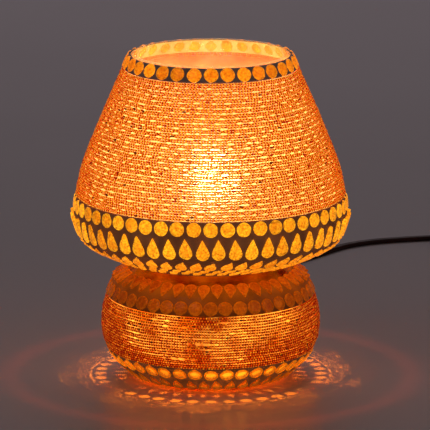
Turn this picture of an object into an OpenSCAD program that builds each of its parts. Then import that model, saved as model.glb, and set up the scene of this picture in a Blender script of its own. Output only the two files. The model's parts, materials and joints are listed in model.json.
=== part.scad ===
// Mosaic glass table lamp: a mouth-blown glass shade and base in one piece, covered with
// strung seed beads and rows of cut glass set in grout, lit by a small screw-cap bulb.
// Millimetres, +Z up. The origin is on the table, under the middle of the foot.

/* [Glass body] */
// Height of the lip above the table
lip_z = 198; // [197:1:202]
// Outer radius of the glass at the lip
lip_r = 47.6; // [46.6:0.2:49]
// Slope of the glass at the lip, in degrees from straight down
lip_slope = 25.4; // [25:0.1:25.8]
// Thickness of the glass wall
wall = 2.8; // [2.2:0.1:3]
// Height of the glass floor above the table, under the base
punt_z = 2.5; // [1.5:0.5:3]
// Longest straight step in the outline of the glass
outline_step = 3.5; // [2:0.5:5]

/* [Beads] */
// Diameter of the seed beads
bead_d = 1.5; // [1.2:0.1:1.8]
// Spacing of the bead strands, measured along the glass
strand_pitch = 1.55; // [1.5:0.05:2]

/* [Cut glass] */
// Diameter of the round stones
disc_d = 8.6; // [7.5:0.1:8.8]
// Thickness of the cut glass
stone_h = 1.9; // [1.2:0.1:2.2]
// Thickness of the grout under the stones
bed = 0.5; // [0.3:0.1:0.8]
// Gap between the glass and the grout on it
seat = 0.12; // [0.1:0.01:0.2]
// Height of the grout above the glass
grout_h = 1.6; // [1:0.1:1.8]
// Number of round stones under the lip
lip_count = 32; // [28:1:33]
// Number of stones in each row round the shade's widest part
skirt_count = 52; // [44:1:54]
// Number of stones in each row on the base's shoulder
shoulder_count = 43; // [36:1:44]
// Number of stones in each row above the foot
foot_count = 40; // [34:1:41]

/* [Lampholder and bulb] */
// Height of the spider's plate
spider_z = 74.6; // [74.6:0.1:76]
// Outer diameter of the lampholder
holder_d = 28; // [26:0.5:29]
// Height of the lampholder's rim
holder_top = 95; // [93:1:96]
// Diameter of the round bulb
bulb_d = 45; // [40:1:50]
// Height of the bulb's centre
bulb_z = 122; // [121:1:126]
// Diameter of the bulb's screw cap
cap_d = 13.8; // [13.4:0.1:13.8]

/* [Cord] */
// Width of the flat twin cord
cord_w = 5.2; // [4.8:0.1:5.4]
// Thickness of the flat twin cord
cord_t = 3.2; // [2.8:0.1:3.4]
// Height of the cord hole in the back of the base
hole_z = 33; // [30:1:36]
// Diameter of the cord hole in the glass
hole_d = 10; // [9:0.5:11]
// Mean radius of the tied coil
coil_r = 31; // [26:1:31]
// Turns in the tied coil
coil_turns = 6.25; // [5.25:1:7.25]

/* [Switch and plug] */
// Length of the inline switch
switch_l = 60; // [56:1:64]
// Width of the inline switch
switch_w = 26; // [24:1:28]
// Height of the inline switch
switch_h = 16; // [15:1:18]
// Diameter of the plug's pins
pin_d = 4; // [4:0.1:4.1]
// Length of the plug's pins
pin_l = 19; // [18.5:0.5:19.5]
// Diameter of a pin's neck next to the plug
pin_neck_d = 3.6; // [3.2:0.1:3.6]
// Length of that neck
pin_neck_l = 10; // [9:0.5:10]

/* [Hidden] */
$fn = 64;

// Outline of the glass from the lip down to the foot. Each step is [radius, turn in degrees],
// or [length, 0] for a straight. The heading is measured from straight down, outward positive.
body_outline = [
    [935, -4],       // flank of the shade
    [109.6, -21.4],  // round to the widest part
    [15.5, -35],     // edge of the shade
    [19, -30],       // turning under
    [26.7, 0],       // flat underside
    [3, 140],        // waist
    [3, 0],          // ledge over the base
    [12, -42],       // shoulder of the base
    [50, -33],       // down to the base's widest part
    [29, -35],       // in towards the foot
    [44, -13]];      // lower flank of the base
edge_r = 1.5;

function step_len(s) = s[1] == 0 ? s[0] : s[0] * abs(s[1]) * PI / 180;
// State [radius, height, heading] after a length t of step s from state p
function advance(p, s, t) =
    s[1] == 0 ? [p[0] + t * sin(p[2]), p[1] - t * cos(p[2]), p[2]]
    : let (k = sign(s[1]), h = p[2] + k * t / s[0] * 180 / PI)
      [p[0] + k * s[0] * (cos(p[2]) - cos(h)), p[1] + k * s[0] * (sin(p[2]) - sin(h)), h];
function run(steps, p, i = 0) =
    i == len(steps) ? p : run(steps, advance(p, steps[i], step_len(steps[i])), i + 1);
over_foot = run(body_outline, [lip_r, lip_z, lip_slope]);
// Clear glass runs straight down from the last row to the rounded edge of the foot ring
clear_l = (over_foot[1] - edge_r * (1 + sin(over_foot[2]))) / cos(over_foot[2]);
outline = concat(body_outline, [[clear_l, 0], [edge_r, -90 - over_foot[2]]]);
function states(i = 0, p = [lip_r, lip_z, lip_slope]) =
    i == len(outline) ? [p]
    : concat([p], states(i + 1, advance(p, outline[i], step_len(outline[i]))));
function lengths(i = 0, a = 0) =
    i == len(outline) ? [a] : concat([a], lengths(i + 1, a + step_len(outline[i])));
corner = states();
mark = lengths();
foot_t = mark[len(outline)];
floor_t = mark[len(body_outline)] + clear_l / 2;

// State on the glass at distance t from the lip, and the point at height off above it
function on_glass(t, i = 0) =
    i == len(outline) - 1 || t <= mark[i + 1] ? advance(corner[i], outline[i], t - mark[i])
    : on_glass(t, i + 1);
function lift(t, off) = let (q = on_glass(t)) [q[0] + off * cos(q[2]), q[1] + off * sin(q[2])];
function along(t1, t2, off) =
    let (n = ceil((t2 - t1) / outline_step)) [for (i = [0:n]) lift(t1 + (t2 - t1) * i / n, off)];
function backwards(v) = [for (i = [len(v) - 1:-1:0]) v[i]];

// Rows of the decoration, as distances from the lip along the glass
gap = 0.5;
lip_row = 0.6 + disc_d / 2;
lip_band = [0.3, lip_row + disc_d / 2 + 0.3];
skirt_row = 96.7;
skirt_drop_l = 13.4;
skirt_drop_w = 7.9;
skirt_drop_row = skirt_row + disc_d / 2 + gap + skirt_drop_l / 2;
skirt_band = [skirt_row - disc_d / 2 - 0.4, skirt_drop_row + skirt_drop_l / 2 + 0.3];
shade_beads = [lip_band[1] + bead_d / 2 + 0.1, skirt_band[0] - bead_d / 2 - 0.1];
under_drop_l = 10.4;
under_drop_w = 7;
under_drop_row = skirt_band[1] + gap + under_drop_l / 2;
diamond_l = 9;
diamond_w = 5.2;
diamond_row_outer = under_drop_row + under_drop_l / 2 + 4.9;
diamond_row_inner = diamond_row_outer + 6.2;
under_band = [skirt_band[1] + 0.05, diamond_row_inner + diamond_l / 2 + 5];
shoulder_drop_l = 11.4;
shoulder_drop_w = 7.2;
shoulder_drop_row = mark[7] - 0.6 + shoulder_drop_l / 2;
shoulder_row = shoulder_drop_row + shoulder_drop_l / 2 + gap / 2 + disc_d / 2;
shoulder_band = [mark[7] - 0.9, shoulder_row + disc_d / 2 + 0.3];
foot_row = 219.6;
foot_drop_l = 11.6;
foot_drop_w = 6.6;
foot_drop_row = foot_row + disc_d / 2 + gap + foot_drop_l / 2;
foot_band = [foot_row - disc_d / 2 - 0.4, foot_drop_row + foot_drop_l / 2 + 0.4];
base_beads = [shoulder_band[1] + bead_d / 2 + 0.1, foot_band[0] - bead_d / 2 - 0.1];

// Heights inside the lampholder and along the bulb
clearance = 0.08;
contact_z = bulb_z - 54.5;
cap_z = contact_z + 3.2;
cap_top = holder_top - 0.6;
shell_z = contact_z - 1.5;
entry_z = 40;
insulator_z = 58;
neck_r = cap_d / 2 + 0.4;
arm_r = 43;
thread_r = holder_d / 2 + 0.1;

// Places of the grommet, the switch, the coil and the plug
grommet_y = on_glass(mark[9])[0];
exit_y = grommet_y + 1.9 + 20;
relief_l = 22;
switch_at = [10, 218, 0];
switch_turn = 20;
coil_at = [200, 334, 0];
lie = cord_t / 2;
coil_h = (coil_turns + 1) * cord_t;
plug_at = [coil_at[0] + coil_r, 258, 7];
pin_root_d = pin_neck_d - 0.6;

// The cord's route by hand: from the grommet to the switch, on to the coil, then to the plug
route_lamp = [[0, exit_y, hole_z], [0, 96, 31.5], [-0.5, 106, 27], [-1.5, 114, 20.5], [-3, 121.5, 13],
    [-4.5, 130, 6.5], [-6, 141, 2.6], [-7, 153, lie], [-6.5, 165, 1.8], [-4.5, 177, 4], [-0.4, 189.5, 8]];
route_table = [[20.4, 246.5, 8], [25, 257, 5], [32, 267, 2.2], [41, 277, lie], [51, 286, lie],
    [62, 297, lie], [73, 311, lie], [83, 325, lie], [94, 337.5, lie], [107, 346.5, lie], [121, 352.5, lie],
    [136, 357, lie], [151, 360.5, lie], [167, 363.5, lie], [184, 365, lie]];
route_plug = [[231, 319, 19.5], [231, 309, 17.5], [231, 299, 13], [231, 289.5, 9], [231, plug_at[1] + relief_l, 7]];
route_inner = [[0, grommet_y - 4.6, hole_z], [0, 50, 30], [0, 40, 25], [0, 29, 20], [0, 17, 18],
    [0, 7, 22], [0, 1, 31], [0, 0, entry_z]];

// ---------------------------------------------------------------- shared shapes

// Band that follows the glass from t1 to t2, between the heights lo and hi above it
module band(t, lo, hi) {
    rotate_extrude($fn = 180)
        polygon(concat(along(t[0], t[1], hi), backwards(along(t[0], t[1], lo))));
}

// Puts a shape on the glass: its +Z out of the surface and its +X down the slope
module on_surface(t, angle, off) {
    q = on_glass(t);
    rotate([0, 0, angle])
        translate([q[0] + off * cos(q[2]), 0, q[1] + off * sin(q[2])])
            rotate([0, 90 - q[2], 0])
                children();
}

module row(t, count, off, shift = 0) {
    for (i = [0:count - 1])
        on_surface(t, (i + shift) * 360 / count, off)
            children();
}

module disc(h = stone_h) {
    cylinder(d = disc_d, h = h, $fn = 32);
}

// Teardrop with its point towards -X
module drop(l, w, h = stone_h) {
    r = w / 2;
    c = l / 2 - r;
    lean = asin(r / (l - r));
    linear_extrude(h)
        union() {
            translate([c, 0])
                circle(r = r, $fn = 32);
            polygon([[-l / 2, 0], [c - r * sin(lean), -r * cos(lean)], [c - r * sin(lean), r * cos(lean)]]);
        }
}

module diamond(l, w, h = stone_h) {
    linear_extrude(h)
        polygon([[-l / 2, 0], [0, -w / 2], [l / 2, 0], [0, w / 2]]);
}

// Strands of beads between two distances from the lip, one eight-sided ring for each strand. A ring that
// meets the cord hole stops short of it on both sides.
module strands(t, hole_r = 0) {
    n = floor((t[1] - t[0]) / strand_pitch);
    for (i = [0:n]) {
        p = lift(t[0] + (t[1] - t[0]) * i / n, bead_d / 2 + 0.05);
        reach = pow(hole_r, 2) - pow(p[1] - hole_z, 2);
        stop = reach > 0 ? asin(sqrt(reach) / p[0]) : 0;
        rotate([0, 0, 90 + stop])
            rotate_extrude(angle = 360 - 2 * stop, $fn = 120)
                translate(p)
                    rotate(22.5)
                        circle(d = bead_d, $fn = 8);
    }
}

// Tube of flat cord along a route of points
module cord_tube(route) {
    sides = 8;
    n = len(route);
    function dir(i) = let (d = route[min(i + 1, n - 1)] - route[max(i - 1, 0)]) d / norm(d);
    function side(i) = let (d = dir(i), s = cross(d, [0, 0, 1]))
        norm(s) < 0.05 ? [-1, 0, 0] : s / norm(s);
    ring = [for (i = [0:n - 1], k = [0:sides - 1])
        let (a = (k + 0.5) * 360 / sides, s = side(i), u = cross(s, dir(i)))
        route[i] + s * cord_w / 2 * cos(a) + u * cord_t / 2 * sin(a) / sin(67.5)];
    quads = [for (i = [0:n - 2], k = [0:sides - 1])
        let (j = (k + 1) % sides, a = i * sides, b = (i + 1) * sides) [a + k, b + k, b + j, a + j]];
    polyhedron(ring, concat(quads,
        [[for (k = [0:sides - 1]) k]],
        [[for (k = [sides - 1:-1:0]) (n - 1) * sides + k]]));
}

module tube(r_out, r_in, h) {
    difference() {
        cylinder(r = r_out, h = h);
        translate([0, 0, -1])
            cylinder(r = r_in, h = h + 2);
    }
}

module at_back(y, z) {
    translate([0, y, z])
        rotate([-90, 0, 0])
            children();
}

module at_switch() {
    translate(switch_at)
        rotate([0, 0, -switch_turn])
            children();
}

// ---------------------------------------------------------------- glass body

module glass_body() {
    inner = backwards(along(0, floor_t, -wall));
    lip = [for (a = [30:30:150]) lift(0, -wall / 2 - wall / 2 * cos(a))
        + wall / 2 * sin(a) * [-sin(lip_slope), cos(lip_slope)]];
    ring_r = on_glass(foot_t)[0];
    foot = [[ring_r - 2.4, 0], [ring_r - 5.2, punt_z], [0, punt_z]];
    outer = along(0, mark[len(body_outline) + 1], 0);
    edge = [for (i = [1:3]) let (q = lift(mark[12] + i * (foot_t - mark[12]) / 4, 0)) q];
    color("navajowhite")
        difference() {
            rotate_extrude($fn = 180)
                polygon(concat(outer, edge, [[ring_r, 0]], foot, [[0, inner[0][1]]], inner, lip));
            at_back(40, hole_z)
                cylinder(d = hole_d, h = 40);
        }
}

// ---------------------------------------------------------------- decoration of the shade

module lip_grout() {
    color("slategray")
        difference() {
            band(lip_band, seat, grout_h);
            row(lip_row, lip_count, bed)
                disc(4);
        }
}

module lip_discs() {
    color("orange")
        row(lip_row, lip_count, bed)
            disc();
}

module shade_bead_strands() {
    color("darkorange")
        strands(shade_beads);
}

module skirt_grout() {
    color("dimgray")
        difference() {
            band(skirt_band, seat, grout_h);
            row(skirt_row, skirt_count, bed)
                disc(4);
            row(skirt_drop_row, skirt_count, bed)
                drop(skirt_drop_l, skirt_drop_w, 4);
        }
}

module skirt_discs() {
    color("orange")
        row(skirt_row, skirt_count, bed)
            disc();
}

module skirt_drops() {
    color("orange")
        row(skirt_drop_row, skirt_count, bed)
            drop(skirt_drop_l, skirt_drop_w);
}

module underside_grout() {
    color("dimgray")
        difference() {
            band(under_band, seat, grout_h);
            row(under_drop_row, skirt_count, bed, 0.5)
                drop(under_drop_l, under_drop_w, 4);
            row(diamond_row_outer, skirt_count, bed)
                diamond(diamond_l, diamond_w, 4);
            row(diamond_row_inner, skirt_count, bed, 0.5)
                diamond(diamond_l, diamond_w, 4);
        }
}

module underside_drops() {
    color("orange")
        row(under_drop_row, skirt_count, bed, 0.5)
            drop(under_drop_l, under_drop_w);
}

module underside_diamonds_outer() {
    color("orange")
        row(diamond_row_outer, skirt_count, bed)
            diamond(diamond_l, diamond_w);
}

module underside_diamonds_inner() {
    color("orange")
        row(diamond_row_inner, skirt_count, bed, 0.5)
            diamond(diamond_l, diamond_w);
}

// ---------------------------------------------------------------- decoration of the base

module shoulder_grout() {
    color("dimgray")
        difference() {
            band(shoulder_band, seat, grout_h);
            row(shoulder_drop_row, shoulder_count, bed, 0.5)
                rotate([0, 0, 180])
                    drop(shoulder_drop_l, shoulder_drop_w, 4);
            row(shoulder_row, shoulder_count, bed)
                disc(4);
        }
}

module shoulder_drops() {
    color("orange")
        row(shoulder_drop_row, shoulder_count, bed, 0.5)
            rotate([0, 0, 180])
                drop(shoulder_drop_l, shoulder_drop_w);
}

module shoulder_discs() {
    color("orange")
        row(shoulder_row, shoulder_count, bed)
            disc();
}

module base_bead_strands() {
    color("orangered")
        strands(base_beads, hole_d / 2 + 3.2);
}

// Full height round the discs, and wiped down to the bed under the lowest row of drops
module foot_grout() {
    step_t = foot_row + disc_d / 2 + 0.3;
    color("dimgray")
        difference() {
            rotate_extrude($fn = 180)
                polygon(concat(along(foot_band[0], step_t, grout_h), along(step_t, foot_band[1], bed - 0.02),
                    backwards(along(foot_band[0], foot_band[1], 0.05))));
            row(foot_row, foot_count, bed)
                disc(4);
        }
}

module foot_discs() {
    color("orange")
        row(foot_row, foot_count, bed)
            disc();
}

module foot_drops() {
    color("orange")
        row(foot_drop_row, foot_count, bed, 0.5)
            drop(foot_drop_l, foot_drop_w);
}

// ---------------------------------------------------------------- spider and lampholder

// Pressed steel plate with three arms that rest on the slope above the waist
module spider() {
    color("lightgray")
        difference() {
            union() {
                translate([0, 0, spider_z])
                    cylinder(r = 21, h = 1.5);
                for (i = [0:2])
                    rotate([0, 0, 90 + i * 120])
                        translate([0, -5, spider_z])
                            cube([arm_r, 10, 1.5]);
            }
            translate([0, 0, spider_z - 1])
                cylinder(r = thread_r + 0.1, h = 4);
        }
}

module spider_sleeves() {
    color("black")
        for (i = [0:2])
            rotate([0, 0, 90 + i * 120])
                translate([arm_r - 7, 0, spider_z])
                    difference() {
                        translate([0, -6, -1])
                            cube([7.8, 12, 3.5]);
                        translate([-1, -5, 0])
                            cube([8, 10, 1.5]);
                    }
}

module ring_nut(z) {
    color("ivory")
        translate([0, 0, z])
            difference() {
                union() {
                    cylinder(r = 18.5, h = 2);
                    cylinder(r = 16.5, h = 6);
                }
                translate([0, 0, -1])
                    cylinder(r = thread_r, h = 9);
            }
}

module ring_nut_upper() {
    ring_nut(spider_z + 1.55);
}

module ring_nut_lower() {
    translate([0, 0, 2 * spider_z - 0.05])
        mirror([0, 0, 1])
            ring_nut(spider_z);
}

module holder_skirt() {
    color("ivory")
        translate([0, 0, insulator_z + 6.2])
            tube(holder_d / 2, holder_d / 2 - 2, holder_top - insulator_z - 6.2);
}

module holder_cap() {
    color("ivory")
        difference() {
            rotate_extrude()
                polygon([[0, entry_z - 4], [7.5, entry_z - 4], [7.5, entry_z + 2], [11, entry_z + 3],
                    [13, entry_z + 6], [holder_d / 2, entry_z + 10], [holder_d / 2, insulator_z + 6],
                    [0, insulator_z + 6]]);
            translate([0, 0, entry_z - 5])
                cylinder(r = 5, h = 12);
            translate([0, 0, entry_z + 5])
                cylinder(r = holder_d / 2 - 2.4, h = 30);
        }
}

module holder_insulator() {
    color("whitesmoke")
        difference() {
            translate([0, 0, insulator_z])
                cylinder(r = holder_d / 2 - 2.6, h = contact_z - 1.6 - insulator_z);
            for (x = [-8, 8])
                translate([x, 0, insulator_z - 1])
                    cylinder(r = 1.25, h = 9);
        }
}

module screw_shell() {
    color("gold")
        translate([0, 0, shell_z])
            tube(cap_d / 2 + clearance + 0.5, cap_d / 2 + clearance, 20);
}

module centre_contact() {
    color("gold") {
        translate([-2.5, -6, contact_z - 1.5])
            cube([5, 12, 0.5]);
        translate([0, 0, contact_z - 1])
            cylinder(r = 2.2, h = 0.9);
    }
}

module terminal_screws() {
    color("gold")
        for (x = [-8, 8])
            translate([x, 0, insulator_z - 2.5]) {
                cylinder(r = 1.2, h = 8);
                cylinder(r = 2.4, h = 2.4);
            }
}

module cord_clamp() {
    color("ivory")
        translate([0, 0, entry_z - 4.2])
            difference() {
                union() {
                    cylinder(r = 4.95, h = 7);
                    translate([0, 0, -2])
                        cylinder(r = 7, h = 2.1);
                }
                translate([0, 0, -3])
                    cylinder(r = 2.8, h = 12);
            }
}

// ---------------------------------------------------------------- bulb

module bulb_cap() {
    color("silver")
        difference() {
            translate([0, 0, cap_z])
                cylinder(d = cap_d, h = cap_top - cap_z);
            translate([0, 0, cap_z + 0.4])
                cylinder(d = cap_d - 0.8, h = 40);
        }
}

// Pear-shaped glass: the outline from the neck in the cap to the round top, and the same inset
function envelope_side(inset) =
    let (r = bulb_d / 2 - inset, n = neck_r - 1 - inset)
    concat([[n, cap_z + 6], [n, cap_top + 0.2], [n + 1.2, cap_top + 2.2]],
        [for (a = [-52:8:84]) [r * cos(a), bulb_z + r * sin(a)]],
        [[0, bulb_z + r]]);

module bulb_envelope() {
    color("lightyellow")
        rotate_extrude($fn = 90)
            polygon(concat(envelope_side(0), backwards(envelope_side(0.8))));
}

module bulb_stem() {
    color("lightcyan") {
        translate([0, 0, cap_z + 7])
            cylinder(r1 = 4.2, r2 = 2, h = 16);
        translate([0, 0, cap_z + 22.9])
            cylinder(r = 1.4, h = 20);
    }
}

module bulb_supports() {
    color("silver")
        for (a = [0, 180])
            rotate([0, 0, a])
                translate([3, 0, cap_z + 24]) {
                    rotate([0, 18, 0])
                        cylinder(r = 0.35, h = 30, $fn = 16);
                }
}

module bulb_filament() {
    reach = 3 + 29.6 * sin(18);
    color("gold")
        translate([0, 0, cap_z + 24 + 29.2 * cos(18)])
            intersection() {
                rotate_extrude($fn = 48)
                    translate([reach, 0])
                        circle(r = 0.6, $fn = 16);
                translate([-30, -30, -3])
                    cube([60, 30, 6]);
            }
}

module bulb_insulator() {
    color("black")
        translate([0, 0, contact_z + 1.2])
            cylinder(r1 = 3.6, r2 = 6, h = cap_z - contact_z - 1.25);
}

module bulb_contact() {
    color("silver")
        translate([0, 0, contact_z])
            cylinder(r = 2.6, h = 1.15);
}

// ---------------------------------------------------------------- cord, switch and plug

// Rubber grommet in the cord hole: a flange outside, a neck in the glass and a lip inside
module cord_grommet() {
    color("black")
        at_back(grommet_y, hole_z)
            difference() {
                union() {
                    translate([0, 0, -wall - 1.6])
                        cylinder(r = hole_d / 2 - 0.1, h = wall + 3);
                    translate([0, 0, 0.1])
                        cylinder(r = hole_d / 2 + 2, h = 1.8);
                    translate([0, 0, 1.85])
                        cylinder(r1 = 5.6, r2 = 3.4, h = exit_y - grommet_y - 1.85);
                }
                translate([0, 0, -10])
                    cylinder(r = 2.75, h = 40);
            }
}

module inner_lead() {
    color("saddlebrown")
        cord_tube(route_inner);
}

module cord_lamp_side() {
    color("#2a1512")
        cord_tube(route_lamp);
}

module cord_table_side() {
    color("#2a1512")
        cord_tube(route_table);
}

module cord_coil() {
    color("#2a1512")
        translate(coil_at)
            rotate_extrude()
                translate([coil_r - 4, 0])
                    square([8, coil_h]);
}

module cord_plug_side() {
    color("#2a1512")
        cord_tube(route_plug);
}

module coil_tie() {
    color("black")
        translate(coil_at)
            rotate([0, 0, 100])
                translate([coil_r - 5.2, -2, 0])
                    difference() {
                        cube([10.4, 4, coil_h + 1.2]);
                        translate([1.1, -1, -0.1])
                            cube([8.2, 6, coil_h + 0.2]);
                    }
}

module switch_shell(z1, z2) {
    hull() {
        for (x = [-1, 1], y = [-1, 1])
            translate([x * (switch_w / 2 - 6), y * (switch_l / 2 - 8), z1])
                cylinder(r = 6, h = z2 - z1, $fn = 32);
        for (y = [-1, 1])
            translate([0, y * (switch_l / 2 - 5), z1])
                cylinder(r = 5, h = z2 - z1, $fn = 32);
    }
}

module cord_slot() {
    translate([-cord_w / 2 - 0.1, -switch_l, switch_h / 2 - cord_t / 2 - 0.1])
        cube([cord_w + 0.2, 2 * switch_l, cord_t + 0.2]);
}

rocker_l = 18;
rocker_w = 11;
rocker_axis_z = switch_h - 3.2;

module switch_bottom() {
    color("#1c1414")
        at_switch()
            difference() {
                switch_shell(0, switch_h / 2 - 0.05);
                translate([-9, -20, 2])
                    cube([18, 40, switch_h]);
                cord_slot();
                for (y = [-1, 1])
                    translate([0, y * 23, -1])
                        cylinder(r = 1.6, h = 4);
            }
}

module switch_top() {
    color("#1c1414")
        at_switch()
            difference() {
                switch_shell(switch_h / 2 + 0.05, switch_h);
                for (y = [-20, rocker_l / 2 + 2])
                    translate([-9, y, 0])
                        cube([18, 9, switch_h - 2]);
                translate([-rocker_w / 2 - 0.3, -rocker_l / 2 - 0.5, 0])
                    cube([rocker_w + 0.6, rocker_l + 1, switch_h + 1]);
                cord_slot();
                translate([-8, 0, rocker_axis_z])
                    rotate([0, 90, 0])
                        cylinder(r = 1.25, h = 16);
            }
}

// Rocker on a cross pin, tipped to its lit position, with one end pressed down
module switch_rocker() {
    tip = 12;
    color("#2c2020")
        at_switch()
            translate([0, 0, rocker_axis_z])
                rotate([tip, 0, 0]) {
                    intersection() {
                        translate([-rocker_w / 2, -rocker_l / 2 + 0.6, -3.2])
                            cube([rocker_w, rocker_l - 1.2, 7.6]);
                        translate([-rocker_w, 0, -0.4])
                            rotate([0, 90, 0])
                                cylinder(r = 8.6, h = 2 * rocker_w);
                        difference() {
                            translate([-rocker_w / 2, -20, -4])
                                cube([rocker_w, 40, 12]);
                            translate([-rocker_w, 0, 19])
                                rotate([0, 90, 0])
                                    cylinder(r = 16, h = 2 * rocker_w);
                        }
                    }
                    translate([-7.8, 0, 0])
                        rotate([0, 90, 0])
                            cylinder(r = 1.2, h = 15.6);
                }
}

module switch_screws() {
    color("silver")
        at_switch()
            for (y = [-1, 1])
                translate([0, y * 23, 0.4])
                    cylinder(r = 1.55, h = 2.5);
}

// Flat two-pin plug: the body narrows towards the cord
module plug_body() {
    half_t = plug_at[2] - 0.2;
    color("#1c1414")
        translate(plug_at)
            rotate([90, 0, 0])
                difference() {
                    hull() {
                        for (x = [-1, 1])
                            translate([x * 10, 0, 0])
                                cylinder(r = half_t - 1.2, h = 1, $fn = 32);
                        for (x = [-1, 1])
                            translate([x * 10, 0, 33])
                                cylinder(r = half_t - 0.4, h = 1.6, $fn = 32);
                        for (x = [-1, 1])
                            translate([x * 8, 0, 15])
                                cylinder(r = half_t, h = 8, $fn = 32);
                    }
                    for (x = [-1, 1])
                        translate([x * 9.3, 0, 28])
                            cylinder(d = pin_root_d, h = 10);
                }
}

module plug_relief() {
    color("#1c1414")
        translate(plug_at)
            rotate([-90, 0, 0])
                difference() {
                    translate([0, 0, 0.05])
                        cylinder(r1 = 5, r2 = 3.4, h = relief_l - 0.05);
                    translate([0, 0, -1])
                        cylinder(r = 2.75, h = relief_l + 2);
                }
}

module plug_pins() {
    color("silver")
        translate(plug_at)
            rotate([90, 0, 0])
                for (x = [-1, 1])
                    translate([x * 9.3, 0, 34.6]) {
                        translate([0, 0, -6.55])
                            cylinder(d = pin_root_d, h = 7);
                        cylinder(d = pin_neck_d, h = pin_neck_l);
                        translate([0, 0, pin_neck_l])
                            cylinder(d = pin_d, h = pin_l - pin_neck_l - 1);
                        translate([0, 0, pin_l - 1])
                            cylinder(d1 = pin_d, d2 = pin_d - 1.4, h = 1);
                    }
}

// ---------------------------------------------------------------- drawing

glass_body();
lip_grout();
lip_discs();
shade_bead_strands();
skirt_grout();
skirt_discs();
skirt_drops();
underside_grout();
underside_drops();
underside_diamonds_outer();
underside_diamonds_inner();
shoulder_grout();
shoulder_drops();
shoulder_discs();
base_bead_strands();
foot_grout();
foot_discs();
foot_drops();
spider();
spider_sleeves();
ring_nut_upper();
ring_nut_lower();
holder_skirt();
holder_cap();
holder_insulator();
screw_shell();
centre_contact();
terminal_screws();
cord_clamp();
bulb_cap();
bulb_envelope();
bulb_stem();
bulb_supports();
bulb_filament();
bulb_insulator();
bulb_contact();
cord_grommet();
inner_lead();
cord_lamp_side();
cord_table_side();
cord_coil();
cord_plug_side();
coil_tie();
switch_bottom();
switch_top();
switch_rocker();
switch_screws();
plug_body();
plug_relief();
plug_pins();
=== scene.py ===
"""Looks of the mosaic glass table lamp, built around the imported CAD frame.

Lengths in the functions below are in millimetres unless a comment says otherwise. Meshes, lights, the
camera and the frame are in metres.
"""

import json
import math

import bpy
import numpy as np
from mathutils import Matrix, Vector

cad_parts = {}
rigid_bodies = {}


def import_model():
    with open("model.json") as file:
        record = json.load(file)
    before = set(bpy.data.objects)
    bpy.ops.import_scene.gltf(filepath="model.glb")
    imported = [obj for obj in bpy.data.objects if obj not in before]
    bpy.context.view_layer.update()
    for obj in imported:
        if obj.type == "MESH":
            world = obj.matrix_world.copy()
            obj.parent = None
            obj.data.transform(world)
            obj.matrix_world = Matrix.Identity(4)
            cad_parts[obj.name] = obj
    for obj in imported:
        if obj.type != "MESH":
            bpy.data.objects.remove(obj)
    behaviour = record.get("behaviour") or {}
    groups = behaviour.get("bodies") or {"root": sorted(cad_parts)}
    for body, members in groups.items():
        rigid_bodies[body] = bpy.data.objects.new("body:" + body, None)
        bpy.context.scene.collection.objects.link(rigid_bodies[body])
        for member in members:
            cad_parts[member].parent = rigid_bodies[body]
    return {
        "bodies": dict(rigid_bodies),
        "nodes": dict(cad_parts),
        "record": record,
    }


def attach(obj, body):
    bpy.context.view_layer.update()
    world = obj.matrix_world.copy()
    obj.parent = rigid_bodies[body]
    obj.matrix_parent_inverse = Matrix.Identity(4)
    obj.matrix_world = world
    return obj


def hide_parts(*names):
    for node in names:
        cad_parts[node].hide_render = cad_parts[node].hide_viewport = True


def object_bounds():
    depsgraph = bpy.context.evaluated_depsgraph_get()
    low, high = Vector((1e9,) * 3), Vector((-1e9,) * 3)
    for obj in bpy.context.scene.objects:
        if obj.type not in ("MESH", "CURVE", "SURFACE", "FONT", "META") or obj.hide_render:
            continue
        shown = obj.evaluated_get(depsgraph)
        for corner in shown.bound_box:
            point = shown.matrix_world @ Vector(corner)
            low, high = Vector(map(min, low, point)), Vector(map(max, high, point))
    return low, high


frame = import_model()
cad_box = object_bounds()
MM = 0.001
TAU = 2 * math.pi
NODES = frame["nodes"]

# ---------------------------------------------------------------- outline of the glass
LIP_R, LIP_Z, LIP_SLOPE = 47.6, 198.0, 25.4
OUTLINE = [  # (radius, turn in degrees) for an arc, (length, 0) for a straight run
    (935, -4), (109.6, -21.4), (15.5, -35), (19, -30), (26.7, 0), (3, 140), (3, 0), (12, -42),
    (50, -33), (29, -35), (44, -13), (12.64, 0),
]


OUTLINE_STEP = 0.05


def trace_outline():
    """Distance, radius, height and heading along the outside of the glass, from the lip to the foot."""
    t, r, z, h = 0.0, LIP_R, LIP_Z, LIP_SLOPE
    rows = [(t, r, z, h)]
    for size, turn in OUTLINE:
        length = size * abs(turn) * math.pi / 180 if turn else size
        n = max(2, int(length / OUTLINE_STEP))
        for i in range(1, n + 1):
            d = length * i / n
            if turn:
                k = 1 if turn > 0 else -1
                h2 = h + k * d / size * 180 / math.pi
                row = (
                    t + d,
                    r + k * size * (math.cos(math.radians(h)) - math.cos(math.radians(h2))),
                    z - k * size * (math.sin(math.radians(h2)) - math.sin(math.radians(h))),
                    h2,
                )
            else:
                row = (t + d, r + d * math.sin(math.radians(h)), z - d * math.cos(math.radians(h)), h)
            rows.append(row)
        t, r, z, h = rows[-1]
    return np.array(rows).T


OUT_T, OUT_R, OUT_Z, OUT_H = trace_outline()


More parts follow.
